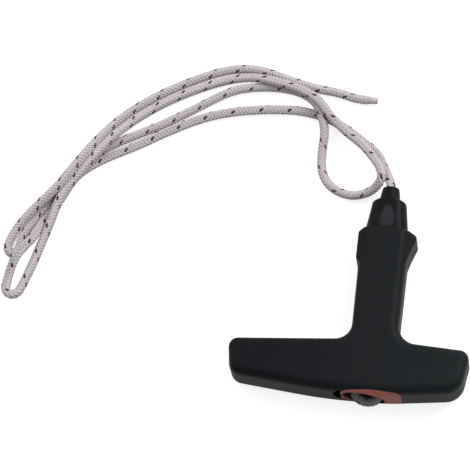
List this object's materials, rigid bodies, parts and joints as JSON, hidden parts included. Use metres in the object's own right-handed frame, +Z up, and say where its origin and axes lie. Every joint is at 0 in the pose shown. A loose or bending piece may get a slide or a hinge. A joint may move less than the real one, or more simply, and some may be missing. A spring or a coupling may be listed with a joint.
{
  "type": "starter rope",
  "caption": "Braided pull-starter rope on a flat T-shaped handle with a rubber knot damper and a stepped nozzle, lying in a loose folded hank.",
  "frame": {"origin": "on the surface the handle lies on, under the axis of its neck, at the crossbar's middle line", "axes": "+Z up, square to the handle's flat faces; +Y along the neck to the rope's exit; +X along the crossbar to its short arm"},
  "size_m": [0.1958, 0.1456, 0.017],
  "materials": {
    "grip_body": "moulded black glass-filled plastic, fine sheen",
    "rope_nozzle": "moulded black plastic",
    "damper_insert": "dull orange rubber",
    "rope": "braided warm grey-white polyester with one dark tracer yarn"
  },
  "bodies": {
    "root": {"grip_body": "grip_body", "damper_insert": "damper_insert", "rope_nozzle": "rope_nozzle", "rope_inner_end": "rope", "rope": "rope"}
  },
  "joints": []
}
